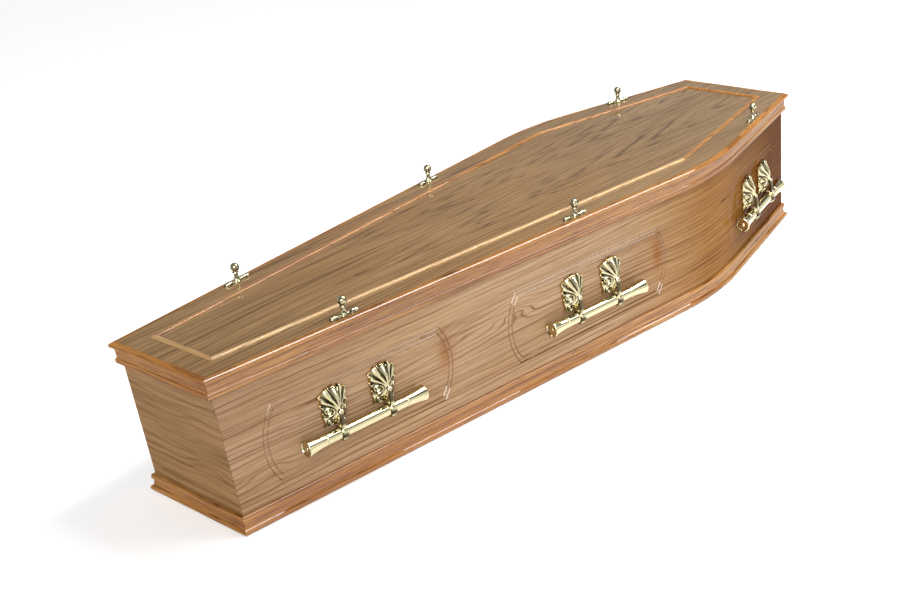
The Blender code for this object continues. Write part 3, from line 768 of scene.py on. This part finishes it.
def bar_mesh(half):
    """A round bar along X with trumpet ends, a ring before each and a boss in a recessed disc."""
    flare = half - BAR_FLARE
    end = [(BAR_RADIUS, flare - RING_WIDTH - RING_LEAD)]
    for a in spread(0, pi, 8):
        end.append((BAR_RADIUS + RING_HEIGHT * sin(a), flare - RING_WIDTH / 2 * (1 + cos(a))))
    for share in spread(0, 1, 14):
        radius = BAR_RADIUS + FLARE_STEP + (BAR_END_RADIUS - BAR_RADIUS - FLARE_STEP) * share**FLARE_CURVE
        end.append((radius, flare + FLARE_GAP + (BAR_FLARE - FLARE_GAP - END_ROUND) * share))
    for a in spread(0, pi / 2, 5)[1:]:
        end.append((BAR_END_RADIUS - END_ROUND_IN * (1 - cos(a)), half - END_ROUND * (1 - sin(a))))
    disc = half - DISC_RECESS
    end += [(BAR_END_RADIUS - DISC_RIM, half), (BAR_END_RADIUS - DISC_RIM - DISC_SLOPE, disc)]
    end.append((BOSS_RADIUS + BOSS_FOOT, disc))
    for a in spread(0, pi / 2, 6)[:-1]:
        end.append((BOSS_RADIUS * cos(a), disc + DISC_RECESS * sin(a)))
    end.append((AXIS_RADIUS, half))
    profile = [(radius, -x) for radius, x in reversed(end)] + end
    return loft("bar", [[(x, y, z) for y, z in circle(r, BAR_SIDES)] for r, x in profile], sharp=35)


def scroll_height(x, z, centre_x, centre_z, radius):
    """(share, height) of a spiral volute at a point of the leaf."""
    dx, dz = abs(x) - centre_x, z - centre_z
    away = sqrt(dx * dx + dz * dz) / radius
    share = 1 - ease(*SCROLL_EDGE, away)
    turns = away / SCROLL_PITCH - atan2(dz, dx) / (2 * pi)
    ridge = 0.5 + 0.5 * cos(2 * pi * turns)
    eye = 1 - ease(*SCROLL_EYE, away)
    return share, SCROLL_RISE * (ridge * ease(*SCROLL_START, away) + eye)


def leaf_point(across, up):
    """(x, out, z) on a leaf's face, from across -1 to 1 and up 0 to 1."""
    lobe = cos(4 * pi * across)
    half_width = LEAF_WIDTH / 2 * (LEAF_TAPER + (1 - LEAF_TAPER) * up) + LEAF_LOBE / 2 * cos(6 * pi * up)
    x = across * half_width
    z = LEAF_HEIGHT * up + up * (LEAF_LOBE * (lobe - 1) / 2 - LEAF_ARCH * across**2)
    dome = LEAF_CROWN * max(0.0, 1.03 - sqrt(across**2 + 0.001)) ** LEAF_CROWN_FALL
    dome *= LEAF_END_CROWN + (1 - LEAF_END_CROWN) * max(0.0, sin(pi * up))
    rise = z - NODE_HEIGHT
    away = sqrt(x * x + rise * rise)
    angle = abs(atan2(x, rise))
    flute = abs(cos(pi * angle / FLUTE_ANGLE)) - FLUTE_LEVEL
    fan = 1 - FLUTE_SIDE_FADE * ease(*FLUTE_SIDE, angle)
    relief = FLUTE_DEPTH * ease(*FLUTE_START, away) * fan * flute
    for scroll in SCROLLS:
        share, height = scroll_height(x, z, *scroll)
        relief = relief * (1 - share) + share * (height - SCROLL_SINK)
    edge = min(1 - abs(across), up * 1.2, (1 - up) * 1.2)
    roll = LEAF_ROLL * (1 - ease(0.0, LEAF_ROLL_WIDTH, edge))
    out = max(LEAF_EDGE * LEAF_THINNEST, LEAF_EDGE + dome + relief - roll)
    return Vector((x, out, LEAF_FOOT + z))


def leaf_mesh():
    """A fluted leaf with scrolls, a lobed edge and a flat back, its face towards +Y."""
    shape = bmesh.new()
    columns = spread(-1, 1, LEAF_COLUMNS)
    rows = spread(0, 1, LEAF_ROWS)
    grid = [[shape.verts.new(leaf_point(u, v)) for u in columns] for v in rows]
    for low, high in zip(grid, grid[1:]):
        for i in range(LEAF_COLUMNS):
            shape.faces.new((low[i], low[i + 1], high[i + 1], high[i]))
    rim = grid[0][:-1] + [row[-1] for row in grid[:-1]]
    rim += grid[-1][:0:-1] + [row[0] for row in reversed(grid[1:])]
    back = [shape.verts.new((v.co.x, LEAF_BACK, v.co.z)) for v in rim]
    for i in range(len(rim)):
        shape.faces.new((rim[i - 1], rim[i], back[i], back[i - 1]))
    shape.faces.new(reversed(back))
    return mesh_of("leaf", shape, 55)


def arm_rings(bar_out):
    """A tapered arm from the knot on the leaf down to the collar."""
    top = Vector((0, LEAF_EDGE + LEAF_CROWN - ARM_SINK, LEAF_FOOT + NODE_HEIGHT + ARM_RISE))
    foot = Vector((0, bar_out + BAR_RADIUS * 0.72, BAR_RADIUS * 0.95))
    rings = []
    for share in spread(0, 1, ARM_STEPS):
        centre = top.lerp(foot, share)
        centre.y += ARM_BOW * sin(pi * share)
        swell = 1.0
        if share < ARM_KNOT:
            swell += ARM_KNOT_SWELL * sin(pi * share / ARM_KNOT)
        cap = sqrt(max(0.02, 1 - (1 - min(1.0, share / ARM_CAP)) ** 2))
        waist = 1 - ARM_WAIST * ease(ARM_KNOT, 0.6, share) + ARM_SPREAD * ease(0.75, 1.0, share)
        ring = circle(ARM_WIDTH / 2 * swell * cap * waist, ARM_SIDES)
        rings.append([(centre.x + x, centre.y + y * ARM_DEPTH, centre.z) for x, y in ring])
    return rings


def cross_rings(profile, bar_out):
    """Rings round the bar's axis, this far out from the wall, through (radius, x) pairs."""
    return [[(x, bar_out + y, z) for y, z in circle(r, BAR_SIDES)] for r, x in profile]


def collar_profile():
    """(radius, x) pairs of a rounded band."""
    half = COLLAR_WIDTH / 2
    low = BAR_RADIUS + COLLAR_LIP
    profile = [(BAR_RADIUS * COLLAR_INSIDE, -half), (low, -half)]
    for a in spread(pi / 14, pi * 13 / 14, 12):
        profile.append((low + (COLLAR_RADIUS - low) * sin(a) ** COLLAR_CURVE, -half * cos(a)))
    return profile + [(low, half), (BAR_RADIUS * COLLAR_INSIDE, half)]


def plate_mesh(bar_out):
    """A handle plate in one casting: leaf, arm and collar."""
    hole = BAR_RADIUS + LEAF_BACK
    bore = loft("bore", cross_rings([(hole, -COLLAR_WIDTH), (hole, COLLAR_WIDTH)], bar_out))
    collar = loft("collar", cross_rings(collar_profile(), bar_out))
    return united("plate", [leaf_mesh(), loft("arm", arm_rings(bar_out)), collar], bore)


def placed(node, side):
    """(middle, direction towards the head, length) of a fitting that follows a side."""
    low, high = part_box(node)
    middle = (low + high) / 2
    line = UPPER if middle.x > SHOULDER.x else LEG
    along = Vector((line.x, line.y * side, 0))
    reach = [(v.co - middle).dot(along) for v in NODES[node].data.vertices]
    return middle, along, max(reach) - min(reach)


def make_handles(material, leaf_material):
    """Six bars, and two plates to each."""
    up = Vector((0, 0, 1))
    bar = plate = None
    for (side_name, side), place_name in product(SIDES.items(), PLACES):
        handle = f"{side_name}_{place_name}"
        centre, along, length = placed(f"handle_bar_{handle}", side)
        normal = Vector((-along.y, along.x, 0)) * side
        axes = Matrix((normal.cross(up), normal, up)).transposed().to_4x4()
        if bar is None:
            bar = bar_mesh(length / 2)
        piece(bar, material, f"handle_bar_{handle}", Matrix.Translation(centre) @ axes)
        for number in (1, 2):
            node = f"handle_plate_{handle}_{number}"
            points = [v.co - centre for v in NODES[node].data.vertices]
            shifts = [p.dot(along) for p in points]
            wall = min(p.dot(normal) for p in points) - LEAF_BACK
            at = centre + along * (min(shifts) + max(shifts)) / 2 + normal * wall
            if plate is None:
                plate = plate_mesh(-wall)
            piece(plate, leaf_material, node, Matrix.Translation(at) @ axes)


def wing_rings(way, length):
    """A plump wing with a scalloped rim, out along X from the stem."""
    rings = []
    for share in spread(0, 1, WING_STEPS):
        x = way * (WING_START + length * share)
        body = sqrt(max(0.0, 1 - (2 * share - 1) ** 2 * 0.92))
        waist = 0.72 + 0.28 * ease(0.15, 0.55, share)
        ripple = 1 + WING_SCALLOP * cos(2 * pi * WING_SCALLOPS * share)
        cap = sqrt(max(0.004, 1 - ease(0.86, 1.0, share)))
        wide = WING_WIDTH / 2 * (0.6 + 0.4 * body) * waist * cap
        tall = WING_HEIGHT * (0.65 + 0.35 * body) * waist * cap
        ring = []
        for a in spread(0, pi, WING_ARC_STEPS):
            rim = ripple if a < pi / 5 or a > pi * 4 / 5 else 1.0
            ring.append((x, wide * rim * cos(a), tall * max(0.0, sin(a)) ** 0.8))
        rings.append(ring if way > 0 else list(reversed(ring)))
    return rings


def screw_mesh(height, span):
    """A lid screw in one casting: ball, collar, flaring stem and two wings."""
    centre = height - BALL_RADIUS
    arc = spread(*BALL_ARC, 22)
    profile = [(BALL_RADIUS * sin(a), centre + BALL_RADIUS * cos(a)) for a in arc]
    profile += [(radius, centre - drop) for radius, drop in SCREW_NECK]
    for share in spread(0, 1, 12):
        z = centre - STEM_DROP + (STEM_FOOT - centre + STEM_DROP) * share
        profile.append((STEM_RADIUS + STEM_FLARE * share**FLARE_CURVE, z))
    profile += [*SCREW_FOOT, (AXIS_RADIUS, 0.0)]
    meshes = [loft("stem", turned_rings(profile, SCREW_SIDES), sharp=30)]
    wing = span / 2 - WING_START
    meshes += [loft(f"wing_{way}", wing_rings(way, wing), sharp=60) for way in (1, -1)]
    return united("screw", meshes)


def make_lid_screws(material):
    """Six lid screws, in line with the lid's edges."""
    screw = None
    for (side_name, side), place_name in product(SIDES.items(), PLACES):
        node = f"lid_screw_{side_name}_{place_name}"
        centre, along, length = placed(node, side)
        low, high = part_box(node)
        if screw is None:
            screw = screw_mesh(high.z - low.z, length)
        turn = Matrix.Rotation(atan2(along.y, along.x), 4, "Z")
        piece(screw, material, node, Matrix.Translation((centre.x, centre.y, low.z)) @ turn)


def dress_wood():
    """Oak on every board, moulding and bead, with the grain along each."""
    veneer = (VENEER_LIGHT, VENEER_DARK, VENEER_WARM)
    plain = (LID_LIGHT, LID_DARK, LID_WARM)
    end = (END_LIGHT, END_DARK, END_WARM)
    pale = (LIT_BEAD_LIGHT, LIT_BEAD_DARK, LIT_BEAD_WARM)
    solid = (MOULDING_LIGHT, MOULDING_DARK, MOULDING_WARM)
    sides = oak(
        "oak_side", veneer, "XZY", SIDE_RING, swing=0.014, ripple=0.0030, crease=(0.03, -1.2), taper=0.012,
        swirls=SIDE_KNOTS, tints=SIDE_TINTS, patches=SIDE_STAINS, depth=1.25, coat=BOARD_COAT
    )
    ends = oak(
        "oak_end", end, "YZX", END_RING, seed=50.0, swing=0.070, ripple=0.0080, crease=(0.06, -0.9),
        swirls=END_KNOTS, width=1.6, depth=0.5, coat=BOARD_COAT
    )
    top = oak(
        "oak_lid", plain, "XYZ", LID_RING, seed=20.0, swing=0.012, ripple=0.0012,
        tints=LID_TINTS, depth=1.35, cathedrals=CATHEDRALS
    )
    long_strip = oak(
        "oak_strip_long", solid, "XZY", STRIP_RING, seed=70.0, swing=0.012, ripple=0.0030,
        depth=0.9, coat=LONG_STRIP_COAT, pores=0.5
    )
    cross_strip = oak(
        "oak_strip_cross", solid, "YZX", STRIP_RING, seed=80.0, swing=0.012, ripple=0.0030,
        depth=0.9, coat=CROSS_STRIP_COAT, pores=0.5
    )
    # Lighter copies of the bead's oak for the near leg and the foot runs: painted highlight
    painted_lit_bead = oak("oak_bead_painted_lit", pale, "XYZ", BEAD_RING, seed=60.0, swing=0.012)
    painted_lit_cross_bead = oak("oak_bead_cross_painted_lit", pale, "YXZ", BEAD_RING, seed=65.0, swing=0.012)
    warm_bead = oak("oak_bead_warm", solid, "XYZ", BEAD_RING, seed=75.0, swing=0.012)
    groove = oak("oak_routed", veneer, "XZY", SIDE_RING, tints=ROUTED_TINTS, coat=LONG_STRIP_COAT)
    for name in ("lid_board", "base_board", "foot_end_board", "head_end_board"):
        NODES[name].data.materials.clear()
        NODES[name].data.materials.append(ends if name.endswith("end_board") else top)
    make_side_boards(sides, groove)
    make_mouldings(long_strip, cross_strip)
    beads = {"leg_right": painted_lit_bead, "foot": painted_lit_cross_bead}
    make_lid_bead(beads, warm_bead)


def make_floor():
    """A wide pale floor."""
    bpy.ops.mesh.primitive_plane_add(size=FLOOR_SIZE, location=(0, 0, -FLOOR_DROP))
    floor = bpy.context.object
    floor.name = "floor"
    material, _, shader = new_material("floor_white")
    shader.inputs["Base Color"].default_value = (*FLOOR_WHITE, 1.0)
    shader.inputs["Roughness"].default_value = FLOOR_ROUGHNESS
    floor.data.materials.append(material)


def aimed(name, light, place, target):
    """A light of this kind at a place, turned to a target."""
    lamp = bpy.data.objects.new(name, light)
    bpy.context.scene.collection.objects.link(lamp)
    lamp.location = place
    lamp.rotation_euler = (Vector(target) - Vector(place)).to_track_quat("-Z", "Y").to_euler()


def make_lights():
    """A soft key before the coffin, and long strips over it."""
    key = bpy.data.lights.new("key", "SUN")
    key.energy = KEY_ENERGY
    key.angle = KEY_ANGLE
    aimed("key", key, KEY_PLACE, (0, 0, 0))
    for name, (energy, size, place, target) in STRIPS.items():
        strip = bpy.data.lights.new(name, "AREA")
        strip.shape = "RECTANGLE"
        strip.size, strip.size_y = size
        strip.energy = energy
        aimed(name, strip, place, target)


def make_room():
    """A room of pale and dark bands all round."""
    world = bpy.data.worlds.new("room")
    bpy.context.scene.world = world
    world.use_nodes = True
    tree = world.node_tree
    way = add(tree, "ShaderNodeTexCoord").outputs["Generated"]
    split = add(tree, "ShaderNodeSeparateXYZ", {0: way}).outputs
    behind = ramp(tree, split["Z"], *ROOM_BEHIND)
    before = ramp(tree, split["Z"], *ROOM_BEFORE)
    forward = calc(tree, "MULTIPLY", split["Y"], ROOM_TURN, clamp=True)
    back = tree.nodes["Background"]
    tree.links.new(mixed(tree, forward, behind, before), back.inputs["Color"])
    back.inputs["Strength"].default_value = 1.0


def make_camera():
    """A camera at the photograph's place, tilt and lens."""
    azimuth, elevation, roll = map(radians, (CAMERA_AZIMUTH, CAMERA_ELEVATION, CAMERA_ROLL))
    back = Vector((sin(azimuth) * cos(elevation), -cos(azimuth) * cos(elevation), sin(elevation)))
    level_right = (-back).cross(Vector((0, 0, 1))).normalized()
    level_up = level_right.cross(-back)
    right = level_right * cos(roll) + level_up * sin(roll)
    up = -level_right * sin(roll) + level_up * cos(roll)
    lens = bpy.data.cameras.new("camera")
    lens.sensor_width = SENSOR_WIDTH
    lens.lens = FOCAL_PIXELS / PICTURE_WIDTH * SENSOR_WIDTH
    camera = bpy.data.objects.new("camera", lens)
    bpy.context.scene.collection.objects.link(camera)
    camera.matrix_world = Matrix((right, up, back)).transposed().to_4x4()
    camera.matrix_world.translation = CAMERA_TARGET + back * CAMERA_DISTANCE
    bpy.context.scene.camera = camera


make_camera()
dress_wood()
make_handles(brass("brass_polished"), brass("brass_leaf", fluted=True))
make_lid_screws(brass("brass_cast", mottle=0.75))
make_floor()
make_lights()
make_room()
bpy.context.scene.view_settings.view_transform = "Standard"
